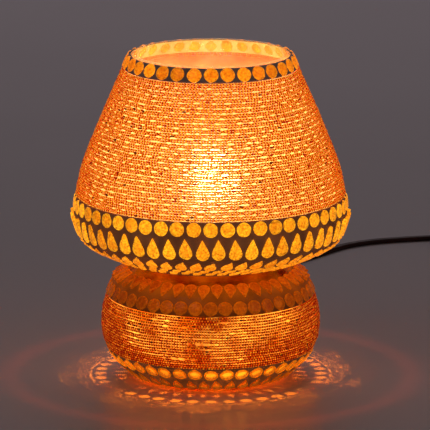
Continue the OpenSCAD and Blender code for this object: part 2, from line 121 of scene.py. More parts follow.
def on_glass(t, phi, off):
    """Point at distance t along the outline and angle phi, off above the glass.

    With it come three directions there: round the axis, down the glass and away from it.
    """
    t, phi, off = np.broadcast_arrays(*[np.asarray(x, float) for x in (t, phi, off)])
    r, z = np.interp(t, OUT_T, OUT_R), np.interp(t, OUT_T, OUT_Z)
    h = np.radians(np.interp(t, OUT_T, OUT_H))
    c, s = np.cos(phi), np.sin(phi)
    rr = r + off * np.cos(h)
    point = np.stack([rr * c, rr * s, z + off * np.sin(h)], -1)
    round_axis = np.stack([-s, c, 0 * c], -1)
    down = np.stack([np.sin(h) * c, np.sin(h) * s, -np.cos(h)], -1)
    normal = np.stack([np.cos(h) * c, np.cos(h) * s, np.sin(h)], -1)
    return point, round_axis, down, normal


def glass_radius(t):
    return float(np.interp(t, OUT_T, OUT_R))


# ---------------------------------------------------------------- meshes
def mesh_piece(name, verts_mm, faces, materials, face_material=None, attributes=None):
    """New smooth piece on the lamp's body. Each array in faces holds faces with one number of corners."""
    mesh = bpy.data.meshes.new(name)
    verts = np.asarray(verts_mm, np.float32) * MM
    faces = [np.asarray(f, np.int32) for f in faces if len(f)]
    corners = np.concatenate([f.ravel() for f in faces])
    sizes = np.concatenate([np.full(len(f), f.shape[1], np.int32) for f in faces])
    mesh.vertices.add(len(verts))
    mesh.vertices.foreach_set("co", verts.ravel())
    mesh.loops.add(len(corners))
    mesh.loops.foreach_set("vertex_index", corners)
    mesh.polygons.add(len(sizes))
    starts = np.concatenate([[0], np.cumsum(sizes)[:-1]])
    mesh.polygons.foreach_set("loop_start", starts.astype(np.int32))
    mesh.polygons.foreach_set("loop_total", sizes)
    mesh.update(calc_edges=True)
    mesh.validate()
    mesh.polygons.foreach_set("use_smooth", np.ones(len(mesh.polygons), bool))
    for material in materials:
        mesh.materials.append(material)
    if face_material is not None:
        mesh.polygons.foreach_set("material_index", np.asarray(face_material, np.int32))
    for key, values in (attributes or {}).items():
        layer = mesh.attributes.new(key, "FLOAT", "POINT")
        layer.data.foreach_set("value", np.asarray(values, np.float32))
    obj = bpy.data.objects.new(name, mesh)
    bpy.context.scene.collection.objects.link(obj)
    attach(obj, "lamp")
    return obj


def grid_faces(rows, cols):
    """Quads between closed rows of cols points each."""
    i, j = np.meshgrid(np.arange(rows - 1), np.arange(cols), indexing="ij")
    k = (j + 1) % cols
    a, b = i * cols, (i + 1) * cols
    return np.stack([a + j, b + j, b + k, a + k], -1).reshape(-1, 4)


# ---------------------------------------------------------------- materials
class Tree:
    """A material's nodes, with short ways to add and join them."""

    def __init__(self, name):
        self.mat = bpy.data.materials.new(name)
        self.mat.use_nodes = True
        self.nodes, self.links = self.mat.node_tree.nodes, self.mat.node_tree.links
        self.shader = self.nodes["Principled BSDF"]
        self.mat.cycles.emission_sampling = "NONE"  # the lights below stand in for what the glow would cast

    def add(self, kind, ins=None, **props):
        node = self.nodes.new(kind)
        for k, v in props.items():
            setattr(node, k, v)
        for k, v in (ins or {}).items():
            if isinstance(v, bpy.types.NodeSocket):
                self.links.new(v, node.inputs[k])
            else:
                node.inputs[k].default_value = v
        return node

    def set(self, **values):
        for k, v in values.items():
            socket = self.shader.inputs[k.replace("_", " ")]
            if isinstance(v, bpy.types.NodeSocket):
                self.links.new(v, socket)
            else:
                socket.default_value = v
        return self

    def place(self):
        return self.add("ShaderNodeTexCoord").outputs["Object"]

    def height(self):
        return self.add("ShaderNodeSeparateXYZ", {"Vector": self.place()}).outputs["Z"]

    def noise(self, scale, detail=3.0, rough=0.55):
        ins = {"Scale": scale, "Detail": detail, "Roughness": rough, "Vector": self.place()}
        return self.add("ShaderNodeTexNoise", ins).outputs["Fac"]

    def cells(self, scale):
        ins = {"Scale": scale, "Vector": self.place()}
        return self.add("ShaderNodeTexVoronoi", ins).outputs["Distance"]

    def ramp(self, fac, *stops):
        node = self.add("ShaderNodeValToRGB", {"Fac": fac})
        ends = node.color_ramp.elements
        while len(ends) < len(stops):
            ends.new(0.5)
        for e, (pos, colour) in zip(ends, stops):
            e.position = pos
            e.color = (*colour, 1)
        return node.outputs["Color"]

    def level(self, fac, low, high, lo=0.0, hi=1.0):
        """Carries fac from the range lo to hi over to low to high."""
        ins = {"Value": fac, "From Min": lo, "From Max": hi, "To Min": low, "To Max": high}
        return self.add("ShaderNodeMapRange", ins).outputs["Result"]

    def mix(self, fac, a, b):
        node = self.add("ShaderNodeMix", data_type="RGBA")
        for k, v in ((0, fac), (6, a), (7, b)):
            if isinstance(v, bpy.types.NodeSocket):
                self.links.new(v, node.inputs[k])
            else:
                node.inputs[k].default_value = v if k == 0 else (*v, 1)
        return node.outputs[2]

    def math(self, op, a, b=0.0, c=0.0):
        node = self.add("ShaderNodeMath", operation=op)
        for i, v in enumerate((a, b, c)):
            if isinstance(v, bpy.types.NodeSocket):
                self.links.new(v, node.inputs[i])
            else:
                node.inputs[i].default_value = v
        return node.outputs[0]

    def bump(self, height, strength, distance):
        node = self.add("ShaderNodeBump", {"Height": height, "Strength": strength, "Distance": distance})
        self.links.new(node.outputs["Normal"], self.shader.inputs["Normal"])
        return self

    def shade(self, kind, ins):
        """Shader of this kind, to mix or add to others."""
        return self.add("ShaderNode" + kind, ins).outputs[0]

    def surface(self, shader):
        """Puts this shader in the place of the principled one."""
        self.nodes.remove(self.shader)
        self.links.new(shader, self.nodes["Material Output"].inputs["Surface"])
        return self.mat

    def value(self, name):
        return self.add("ShaderNodeAttribute", attribute_name=name).outputs["Fac"]

    def island(self):
        return self.add("ShaderNodeNewGeometry").outputs["Random Per Island"]


def dim(colour, share):
    return [min(1, c * share) for c in colour]


def metal(name, base, rough):
    """Turned or pressed metal, a little stained and finely scratched."""
    t = Tree(name)
    n = t.noise(60)
    fine = t.noise(900)
    t.set(
        Metallic=1.0,
        Base_Color=t.ramp(n, (0.3, dim(base, 0.82)), (0.7, base)),
        Roughness=t.level(fine, rough - 0.06, rough + 0.12, 0.35, 0.65),
    )
    return t.bump(fine, 0.12, 0.0001).mat


def plastic(name, base, rough, coat=0.0):
    """Moulded plastic or rubber with a fine grain."""
    t = Tree(name)
    n, fine = t.noise(35), t.noise(1400)
    t.set(
        Base_Color=t.ramp(n, (0.3, dim(base, 0.8)), (0.7, dim(base, 1.15))),
        Roughness=t.level(t.noise(110), rough - 0.05, rough + 0.12, 0.35, 0.65),
        Coat_Weight=coat,
        Coat_Roughness=0.15,
    )
    return t.bump(fine, 0.18, 0.0001).mat


def grout_material(name, low, high, glow, coat=0.0, rough=0.82, fade=None):
    """Sanded cement paste: mottled, with fine sand and a few pits, and a painted glow that stands in for the
    lamplight falling on it.

    fade is two heights, in metres, between which that painted lamplight grows upwards.
    """
    t = Tree(name)
    wide, sand, pits = t.noise(70, 5), t.noise(2600, 2), t.cells(520)
    grains = t.level(sand, 0.0, 0.35, 0.3, 0.7)
    colour = t.mix(grains, t.ramp(wide, (0.3, low), (0.72, high)), dim(low, 0.55))
    t.set(Base_Color=colour, Roughness=t.level(sand, rough - 0.1, min(1, rough + 0.1), 0.3, 0.7))
    t.set(Coat_Weight=coat, Coat_Roughness=0.16)
    # painted light: the grout's emission, in place of lamplight falling on it
    t.set(Emission_Color=t.ramp(wide, (0.3, dim(glow, 0.7)), (0.7, dim(glow, 1.3))))
    t.set(Emission_Strength=t.level(t.height(), 0.3, 1.1, *fade) if fade else 1.0)
    relief = t.math("ADD", t.math("MULTIPLY", sand, 0.35), t.level(pits, 0.0, 0.6, 0.0, 0.35))
    return t.bump(t.math("ADD", relief, wide), 0.45, 0.0005).mat


def amber_material(name, glow, dark, bright, clear, solid, coat=0.25):
    """Hand-cut amber sheet glass, lit from behind: rippled, streaked, with painted light brighter at its
    ground edges.

    glow is painted light that stands in for the lamplight through the stone, clear its share of clear glass,
    solid how much of the light behind it holds back.
    """
    t = Tree(name)
    ripple, streak, own, rim = t.noise(260, 4, 0.6), t.noise(900, 3), t.island(), t.value("rim")
    mid = [(a + b) / 2 for a, b in zip(dark, bright)]
    base = t.ramp(t.level(ripple, 0.0, 1.0, 0.28, 0.72), (0.0, dark), (0.45, mid), (1.0, bright))
    tinted = t.mix(t.level(own, 0.0, 0.55), base, bright)
    tinted = t.mix(t.level(t.math("FRACT", t.math("MULTIPLY", own, 7.3)), -0.3, 0.5), tinted, dark)
    # painted light: colour and glow turn brighter towards the ground edge
    painted_bright_edge = t.mix(t.level(rim, 0.0, 0.35), tinted, bright)
    patches = t.math("MULTIPLY", t.level(streak, 0.40, 1.65, 0.34, 0.66), t.level(own, 0.8, 1.2))
    # painted lamplight: the glow, a fifth stronger at the ground edge
    power = t.math("MULTIPLY", patches, t.math("MULTIPLY_ADD", rim, 0.2 * glow, glow))
    alpha = t.level(rim, solid, 0.98, 0.0, 0.5)
    t.set(
        Base_Color=painted_bright_edge,
        Emission_Color=painted_bright_edge,
        Emission_Strength=t.math("DIVIDE", power, alpha),
        Roughness=t.level(ripple, 0.1, 0.24, 0.3, 0.7),
        Coat_Weight=coat,
        Coat_Roughness=0.06,
        IOR=1.5,
        Specular_IOR_Level=0.25,
        Transmission_Weight=clear,
        Alpha=alpha,
    )
    return t.bump(t.math("ADD", ripple, t.math("MULTIPLY", streak, 0.4)), 0.55, 0.0007).mat


def bead_material(name, colour, painted_glow_colour, clear, shine):
    """One part of the beads of one batch, with painted light in place of the lamplight through it; a bead is
    too small to vary further within itself.
    """
    t = Tree(name)
    t.set(
        Base_Color=(*colour, 1),
        Emission_Color=(*painted_glow_colour, 1),
        Emission_Strength=1.0,
        Roughness=0.42,
        IOR=1.48,
        Specular_IOR_Level=shine,
        Transmission_Weight=clear,
        Coat_Weight=0.4 * shine,
        Coat_Roughness=0.08,
    )
    return t.mat


def glass_material(name, zones):
    """Clear glass that lets lamplight straight through, hazed by the glue behind the mosaic.

    zones lists, from the foot upwards, a height in metres and the look there: tint, the haze's colour,
    haze, blur and the colour of a painted glow in place of the lamplight through it. The looks blend between
    those heights.
    """
    t = Tree(name)
    wave = t.noise(45, 4)
    height = t.level(t.height(), 0.0, 1.0, 0.0, GLASS_TOP)

    def by_height(column):
        values = [look[column] for _, look in zones]
        colours = [v if isinstance(v, tuple) else (v,) * 3 for v in values]
        return t.ramp(height, *[(z / GLASS_TOP, colour) for (z, _), colour in zip(zones, colours)])

    tint, haze_colour, haze, blur, glow = [by_height(column) for column in range(5)]
    amount = t.math("MULTIPLY", haze, t.level(wave, 0.6, 1.4, 0.3, 0.7))
    bump = t.shade("Bump", {"Height": wave, "Strength": 0.15, "Distance": 0.001})
    dents = t.shade("Bump", {"Height": t.noise(110, 3), "Strength": 0.7, "Distance": 0.001})
    clear = t.shade("BsdfTransparent", {"Color": tint})
    blurred = t.shade("BsdfRefraction", {"Color": tint, "IOR": 1.4, "Roughness": 0.75, "Normal": bump})
    through = t.shade("MixShader", {0: blur, 1: clear, 2: blurred})
    behind = t.shade("BsdfTranslucent", {"Color": haze_colour})
    front = t.shade("BsdfDiffuse", {"Color": haze_colour})
    hazed = t.shade("MixShader", {0: 0.26, 1: behind, 2: front})
    unlit = t.shade("MixShader", {0: amount, 1: through, 2: hazed})
    # painted lamplight: the glass's emission
    lit = t.shade("Emission", {"Color": glow, "Strength": t.level(wave, 0.0, 2.0, 0.42, 0.6)})
    body = t.shade("AddShader", {0: unlit, 1: lit})
    shine = t.shade("BsdfGlossy", {"Color": (1, 1, 1, 1), "Roughness": 0.04, "Normal": dents})
    # gloss grows towards grazing views alike on both faces of the wall
    facing = t.add("ShaderNodeLayerWeight", {"Blend": 0.5, "Normal": bump}).outputs["Facing"]
    gloss = t.math("MULTIPLY_ADD", t.math("POWER", facing, 5.0), 0.96, 0.04)
    return t.surface(t.shade("MixShader", {0: gloss, 1: body, 2: shine}))


def adhesive_material(name, low, high):
    """Cream adhesive that the stones were bedded in, as seen through the glass."""
    t = Tree(name)
    t.set(
        Base_Color=t.ramp(t.noise(160, 4), (0.3, low), (0.7, high)),
        Roughness=t.level(t.noise(400), 0.5, 0.75, 0.3, 0.7),
    )
    return t.bump(t.noise(500), 0.3, 0.0003).mat


GLASS_TOP = 0.2  # metres
NO_GLOW = (0.0, 0.0, 0.0)
# the last colour of each look is its painted glow, brightest on the base, in place of lamplight reaching it
FOOT_LOOK = ((0.95, 0.60, 0.20), (0.60, 0.15, 0.006), 0.14, 0.08, (0.09, 0.022, 0.001))
FOOT_RING_LOOK = ((0.95, 0.66, 0.30), (0.60, 0.15, 0.006), 0.14, 0.08, (0.40, 0.165, 0.008))
BASE_LOOK = ((0.95, 0.66, 0.30), (0.60, 0.15, 0.006), 0.14, 0.08, (0.68, 0.32, 0.038))
NECK_LOOK = ((0.32, 0.12, 0.01), (0.45, 0.13, 0.003), 0.30, 0.10, (0.10, 0.022, 0.0))
SHADE_LOOK = ((0.97, 0.93, 0.82), (1.0, 0.90, 0.54), 0.52, 0.42, NO_GLOW)
LIP_LOOK = ((0.99, 0.97, 0.90), (0.92, 0.92, 0.74), 0.10, 0.03, NO_GLOW)
STEM_LOOK = ((0.96, 0.97, 0.96), (0.9, 0.9, 0.85), 0.06, 0.05, NO_GLOW)
BODY_ZONES = [
    (0.008, FOOT_LOOK), (0.012, FOOT_RING_LOOK), (0.018, FOOT_RING_LOOK),
    (0.023, BASE_LOOK), (0.052, BASE_LOOK), (0.062, NECK_LOOK), (0.094, NECK_LOOK),
    (0.104, SHADE_LOOK), (0.176, SHADE_LOOK), (0.190, LIP_LOOK),
]
STEM_ZONES = [(0.0, STEM_LOOK), (GLASS_TOP, STEM_LOOK)]

MATS = {
    "adhesive": adhesive_material("stone_adhesive", (0.40, 0.36, 0.20), (0.58, 0.54, 0.34)),
    "glass": glass_material("body_glass", BODY_ZONES),
    # the last colour of each grout is its painted lamplight; the lacquered grout's grows upwards
    "grout": grout_material("cement_grout", (0.20, 0.14, 0.14), (0.36, 0.26, 0.25), (0.060, 0.015, 0.002)),
    "grout_rim": grout_material(
        "cement_grout_rim", (0.16, 0.15, 0.17), (0.30, 0.28, 0.31), (0.03, 0.016, 0.012)
    ),
    "grout_lacquered": grout_material(
        "lacquered_grout", (0.12, 0.035, 0.008), (0.22, 0.07, 0.014), (0.20, 0.034, 0.0006),
        coat=0.35, rough=0.6, fade=(0.052, 0.064),
    ),
    # the first number of each amber stone is its painted glow in place of the lamplight through it: less on
    # the shoulder and foot
    "lip": amber_material(
        "amber_lip", 0.70, (0.78, 0.14, 0.002), (1.0, 0.31, 0.006), clear=0.1, solid=0.96
    ),
    "skirt": amber_material(
        "amber_skirt", 0.74, (0.88, 0.22, 0.002), (1.0, 0.44, 0.012), clear=0.1, solid=0.94
    ),
    "underside": amber_material(
        "amber_underside", 0.70, (0.86, 0.18, 0.002), (1.0, 0.36, 0.012), clear=0.1, solid=0.94
    ),
    "shoulder_drops": amber_material(
        "amber_shoulder", 0.24, (0.55, 0.07, 0.001), (0.95, 0.20, 0.003),
        clear=0.1, solid=0.96, coat=0.15,
    ),
    "shoulder_discs": amber_material(
        "amber_shoulder_low", 0.17, (0.55, 0.08, 0.001), (0.95, 0.22, 0.003),
        clear=0.1, solid=0.96, coat=0.15,
    ),
    "foot_drops": amber_material(
        "amber_foot_low", 0.13, (0.62, 0.10, 0.001), (0.95, 0.24, 0.004), clear=0.2, solid=0.10
    ),
    "foot_discs": amber_material(
        "amber_foot", 0.34, (0.75, 0.13, 0.001), (1.0, 0.28, 0.004), clear=0.2, solid=0.14
    ),
}


def bead_batch(name, share, body, rim, mid, core, clear=(0.0, 0.02, 0.06)):
    """One batch of seed beads: its share of all beads, and a material for each part of a bead.

    body is the glass unlit; rim, mid and core are the painted light at its ends, its sides and its middle,
    brightest in the middle as a painted highlight.
    """
    # each part: name, painted light, share of clear glass, painted shade on the body's colour, shine
    parts = (
        ("rim", rim, clear[0], (0.35, 0.2, 0.1), 0.05),
        ("mid", mid, clear[1], (0.7, 0.5, 0.3), 0.15),
        ("core", core, clear[2], (1, 1, 1), 0.3),
    )
    return share, [
        bead_material(f"{name}_{part}", [c * d for c, d in zip(body, shade)], light, see_through, shine)
        for part, light, see_through, shade, shine in parts
    ]


DARK_CLEAR = (0.05, 0.1, 0.2)
# per batch: name, share, body colour, the painted light of rim, mid and core, and its clear glass where not
# the usual
SHADE_BEADS = [
    bead_batch(
        "bead_orange", 0.66,
        (1.0, 0.22, 0.004), (0.32, 0.010, 0.0001), (0.70, 0.086, 0.001), (1.05, 0.48, 0.024),
    ),
    bead_batch(
        "bead_amber", 0.14,
        (1.0, 0.28, 0.008), (0.40, 0.016, 0.0002), (0.80, 0.14, 0.002), (1.2, 0.62, 0.050),
    ),
    bead_batch(
        "bead_deep", 0.17,
        (0.95, 0.15, 0.004), (0.20, 0.004, 0.0001), (0.54, 0.044, 0.0005), (1.0, 0.27, 0.006),
    ),
    bead_batch(
        "bead_red", 0.025,
        (0.75, 0.04, 0.003), (0.10, 0.003, 0.0001), (0.28, 0.012, 0.0003), (0.7, 0.06, 0.002),
    ),
    bead_batch(
        "bead_dark", 0.005,
        (0.20, 0.05, 0.01), (0.05, 0.010, 0.001), (0.10, 0.02, 0.002), (0.2, 0.04, 0.004), DARK_CLEAR,
    ),
]
# the base's beads get less painted light than the shade's
BASE_BEADS = [
    bead_batch(
        "base_bead_orange", 0.58,
        (0.95, 0.22, 0.004), (0.12, 0.002, 0.0001), (0.28, 0.011, 0.0002), (0.74, 0.175, 0.004),
    ),
    bead_batch(
        "base_bead_amber", 0.20,
        (1.0, 0.30, 0.008), (0.15, 0.004, 0.0001), (0.40, 0.032, 0.0005), (1.05, 0.38, 0.014),
    ),
    bead_batch(
        "base_bead_deep", 0.21,
        (0.75, 0.12, 0.004), (0.08, 0.0015, 0.0001), (0.18, 0.005, 0.0002), (0.42, 0.052, 0.002),
    ),
    bead_batch(
        "base_bead_dark", 0.01,
        (0.12, 0.03, 0.01), (0.03, 0.005, 0.001), (0.06, 0.01, 0.002), (0.12, 0.02, 0.003), DARK_CLEAR,
    ),
]

# ---------------------------------------------------------------- camera, room and light
scene = bpy.context.scene
scene.view_settings.view_transform = "Standard"
scene.view_settings.look = "None"
scene.cycles.transparent_max_bounces = 24
scene.cycles.sample_clamp_indirect = 6

cam_data = bpy.data.cameras.new("camera")
cam_data.sensor_width = 36
cam_data.lens = 367.45
cam_data.shift_x = 0.0102
camera = bpy.data.objects.new("camera", cam_data)
camera.location = (0, -2.590, 0.680)
camera.rotation_euler = (math.radians(77.35), 0, 0)
scene.collection.objects.link(camera)
scene.camera = camera

world = bpy.data.worlds.new("studio")
scene.world = world
world.use_nodes = True
sky = world.node_tree.nodes["Background"]
sky.inputs["Color"].default_value = (0.86, 0.66, 0.64, 1)
sky.inputs["Strength"].default_value = 0.05


def area_light(name, place, target, size, power, colour):
    data = bpy.data.lights.new(name, "AREA")
    data.shape, data.size, data.energy, data.color = "DISK", size, power, colour
    light = bpy.data.objects.new(name, data)
    light.location = place
    light.rotation_euler = (Vector(target) - Vector(place)).to_track_quat("-Z", "Y").to_euler()
    scene.collection.objects.link(light)


area_light("key", (-1.1, -1.3, 1.9), (0, 0, 0.1), 1.4, 1.7, (1.0, 0.84, 0.76))
area_light("fill", (1.7, -0.7, 1.2), (0, 0, 0.1), 1.6, 0.7, (1.0, 0.84, 0.76))
area_light("rear", (0, 2.0, 1.6), (0, 1.9, 0.0), 2.4, 8.8, (1.0, 0.84, 0.89))

floor_mat = Tree("studio_floor")
floor_mat.set(
    Base_Color=floor_mat.ramp(floor_mat.noise(3), (0.2, (0.50, 0.50, 0.53)), (0.8, (0.54, 0.54, 0.57))),
    Roughness=0.32,
    Specular_IOR_Level=0.4,
)
floor_mesh = bpy.data.meshes.new("floor")
floor_mesh.from_pydata([(-9, -9, 0), (9, -9, 0), (9, 9, 0), (-9, 9, 0)], [], [(0, 1, 2, 3)])
floor_mesh.materials.append(floor_mat.mat)
floor = bpy.data.objects.new("floor", floor_mesh)
floor.location.z = cad_box[0][2] - 0.0001
scene.collection.objects.link(floor)


def lamp_light(name, height, power, colour, radius, body):
    """Point light on the lamp's axis that moves with one of its bodies."""
    data = bpy.data.lights.new(name, "POINT")
    data.energy, data.color, data.shadow_soft_size = power, colour, radius
    light = bpy.data.objects.new(name, data)
    light.location = (0, 0, height)
    scene.collection.objects.link(light)
    light.parent = frame["bodies"][body]
    return light


bulb_light = lamp_light("bulb_glow", 0.122, 1.25, (1.0, 0.66, 0.34), 0.010, "bulb_tip")
bulb_light.visible_glossy = False

table_only = bpy.data.collections.new("table_only")
table_only.objects.link(floor)
# the same lamplight again for the table alone, where it falls as small spots through the lowest stones
spot_light = lamp_light("bulb_on_table", 0.124, 9.0, (1.0, 0.42, 0.03), 0.004, "bulb_tip")
spot_light.light_linking.receiver_collection = table_only
# light that the whole mosaic scatters onto the table: nothing shades it
pool_light = lamp_light("mosaic_on_table", 0.09, 1.15, (1.0, 0.12, 0.001), 0.03, "lamp")
pool_light.light_linking.receiver_collection = table_only
pool_light.light_linking.blocker_collection = bpy.data.collections.new("table_blockers")

# ---------------------------------------------------------------- cord
CORD_W, CORD_T = 5.2, 3.2
LIE = 1.6  # height of its middle where it lies on the table
LIFT = 0.12  # keeps its rolling edges off the table
ROLL, ROLL_STEP = 0.06, 0.11  # radians: how far it rolls to and fro, and how fast from point to point
POINTS_BETWEEN = 5
LOBE_POINTS = 12
ROUTE_LAMP = [
    (0, 80, 33), (0, 86.85, 33), (0, 96, 31.5), (-0.5, 106, 27), (-1.5, 114, 20.5), (-3, 121.5, 13),
    (-4.5, 130, 6.5), (-6, 141, 2.6), (-7, 153, LIE), (-6.5, 165, 1.8), (-4.5, 177, 4), (-0.4, 189.5, 8),
]
ROUTE_TABLE = [
    (20.4, 246.5, 8), (25, 257, 5), (32, 267, 2.2), (41, 277, LIE), (51, 286, LIE), (62, 297, LIE),
    (73, 311, LIE), (83, 325, LIE), (94, 337.5, LIE), (107, 346.5, LIE), (121, 352.5, LIE), (136, 357, LIE),
    (151, 360.5, LIE), (167, 363.5, LIE), (184, 365, LIE),
]
ROUTE_PLUG = [
    (231, 319, 19.5), (231, 309, 17.5), (231, 299, 13), (231, 289.5, 9), (231, 280, 7), (231, 262, 7),
]
COIL_AT, COIL_R, COIL_TURNS, COIL_STEPS = (200, 334), 31, 6.25, 24
COIL_TOP = 21.4


def coil_points():
    """The wound part: turns on each other, each a little off the one below."""
    points = []
    n = int(COIL_TURNS * COIL_STEPS)
    for i in range(n + 1):
        a = math.radians(90) - TAU * i / COIL_STEPS
        turn = i / COIL_STEPS
        ease = min(1, turn, COIL_TURNS - turn)
        r = COIL_R + ease * (0.75 * math.sin(2.4 * turn + 0.5) + 0.5 * math.sin(a * 2 + 1.3 * turn))
        z = LIE + (CORD_T - 0.02) * max(0, turn - 0.15) + 0.12 * ease * math.sin(3 * a)
        points.append((COIL_AT[0] + r * math.cos(a), COIL_AT[1] + r * math.sin(a), min(z, COIL_TOP)))
    return points


def spline(points, per):
    """Catmull-Rom curve through the points, with per steps between two of them."""
    p = np.array(points, float)
    p = np.vstack([2 * p[0] - p[1], p, 2 * p[-1] - p[-2]])
    out = []
    for i in range(1, len(p) - 2):
        a, b, c, d = p[i - 1 : i + 3]
        square, cube = 2 * a - 5 * b + 4 * c - d, 3 * b - a - 3 * c + d
        for k in range(per):
            s = k / per
            out.append(0.5 * (2 * b + (c - a) * s + square * s * s + cube * s**3))
    out.append(p[-2])
    return np.array(out)


def twin_profile():
    """Section of flat twin cord: two round lobes side by side."""
    r, c = CORD_T / 2, (CORD_W - CORD_T) / 2
    open_angle = math.acos(-c / r)
    angles = np.linspace(-open_angle, open_angle, LOBE_POINTS)
    right = [(c + r * math.cos(a), r * math.sin(a)) for a in angles]
    return np.array(right + [(-x, -y) for x, y in right])


def sweep(line, profile, roll):
    """Closed tube of the profile along the line, its flat side level but for the roll at each point."""
    d = np.gradient(line, axis=0)
    d /= np.linalg.norm(d, axis=1)[:, None]
    side = np.cross(d, [0, 0, 1])
    side /= np.linalg.norm(side, axis=1)[:, None]
    up = np.cross(side, d)
    c, s = np.cos(roll)[:, None], np.sin(roll)[:, None]
    side, up = side * c + up * s, up * c - side * s
    n = len(profile)
    verts = line[:, None] + side[:, None] * profile[None, :, :1] + up[:, None] * profile[None, :, 1:]
    quads = grid_faces(len(line), n)
    ends = [[list(range(n))[::-1]], [list(range((len(line) - 1) * n, len(line) * n))]]
    return verts.reshape(-1, 3), [quads, *ends]


cord_route = ROUTE_LAMP + ROUTE_TABLE + coil_points()[1:] + ROUTE_PLUG
cord_line = spline(cord_route, POINTS_BETWEEN)
roll = ROLL * np.sin(np.arange(len(cord_line)) * ROLL_STEP)
cord_mat = Tree("cord_pvc")
cord_colour = cord_mat.ramp(cord_mat.noise(40), (0.3, (0.020, 0.006, 0.004)), (0.7, (0.048, 0.013, 0.008)))
cord_mat.set(
    Base_Color=cord_colour,
    Roughness=cord_mat.level(cord_mat.noise(120), 0.30, 0.46, 0.35, 0.65),
    Specular_IOR_Level=0.3,
)
cord_mat.bump(cord_mat.noise(900), 0.12, 0.0002)
cord_verts, cord_faces = sweep(cord_line + [0, 0, LIFT], twin_profile(), roll)
cord = mesh_piece("cord", cord_verts, cord_faces, [cord_mat.mat])
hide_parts("cord_lamp_side", "cord_table_side", "cord_coil", "cord_plug_side")

# ---------------------------------------------------------------- mosaic stones and grout
DISC_D, GAP = 8.6, 0.5
# how far stones stray from their place, in mm: along the row, across it, off the glass
STRAY_ALONG, STRAY_ACROSS, STRAY_OFF = 0.25, 0.22, 0.06
STRAY_TURN, STRAY_TILT = 0.055, 0.022  # radians
ROUGH_EDGE, ROUGH_FACE = 0.011, 0.035  # waves of a stone's outline as a share of it, and of its face in mm
BELLY, BELLY_AT, BELLY_WIDTH = 0.07, 0.75, 0.35  # swelling of a drop's sides: share, place, width
BLUNT = 0.25  # what a drop's point lacks
BULGE = 1.22  # 1 gives a diamond straight sides, 2 makes it an ellipse
rng = np.random.default_rng(610)
ANGLES = np.linspace(0, TAU, 40, endpoint=False)


def disc_outline(a, wobble):
    """Distance from the middle of a disc to its edge at the angles a, with the waves of a hand-cut edge. a
    is not used: the waves in wobble already follow those angles.
    """
    return DISC_D / 2 * (1 + wobble)


def drop_outline(length, width):
    """The same for a drop, from the centre of its round end, with a = 0 towards its point."""
    r = width / 2
    lean = math.asin(r / (length - r))

    def outline(a, wobble):
        a = np.abs((a + math.pi) % TAU - math.pi)
        edge = np.where(a < math.pi / 2 - lean, r / np.maximum(np.cos(a - (math.pi / 2 - lean)), 0.05), r)
        belly = 1 + BELLY * np.exp(-(((a - BELLY_AT) / BELLY_WIDTH) ** 2))
        return np.minimum(edge * belly, length - r - BLUNT) * (1 + wobble * 0.6)

    return outline


def diamond_outline(length, width):
    """The same for a diamond with slightly bulging sides."""

    def outline(a, wobble):
        c, s = np.abs(np.cos(a)) / (length / 2), np.abs(np.sin(a)) / (width / 2)
        return (c**BULGE + s**BULGE) ** (-1 / BULGE) * (1 + wobble * 0.5)

    return outline


def stone_row(t, count, outline, shift=0.0, heading=0.0, centre=0.0, jitter=1.0, lean=0.0):
    """Stones of one row, each set by hand: a little off its place, its turn and its level.

    shift moves the row along by that share of a stone, heading is the angle of the outline's own axis from
    the way down the glass, centre how far its middle lies from t, and lean a slant that all of them share.
    """
    stones = []
    for i in range(count):
        stray = jitter * rng.normal(0, STRAY_ALONG) / glass_radius(t)
        phi = -math.pi / 2 + TAU * (i + shift) / count + stray
        wobble = sum(
            rng.normal(0, ROUGH_EDGE) * np.cos(k * ANGLES + rng.uniform(0, TAU)) for k in (2, 3, 4, 5)
        )
        stones.append(
            dict(
                t=t + centre + jitter * rng.normal(0, STRAY_ACROSS),
                phi=phi,
                turn=heading + lean + jitter * rng.normal(0, STRAY_TURN),
                r=outline(ANGLES, wobble),
                tilt=rng.normal(0, STRAY_TILT, 2),
                lift=rng.normal(0, STRAY_OFF),
                seed=rng.integers(1 << 30),
            )
        )
    return stones


# a stone's side, from the glass up: inset from the outline, height above the glass, and the painted edge
# light there, which also makes it less see-through
STONE_RINGS = [(0.12, 0.05, 0.0), (0.0, 0.35, 0.3), (0.0, 1.72, 0.5), (0.22, 2.02, 1.0), (0.62, 2.2, 0.5)]
# its face: share of the outline, height; then the height of the middle of its face and of its bed
STONE_TOPS = [(0.62, 2.3), (0.34, 2.36)]
FACE_Z, BED_Z = 2.38, 0.02


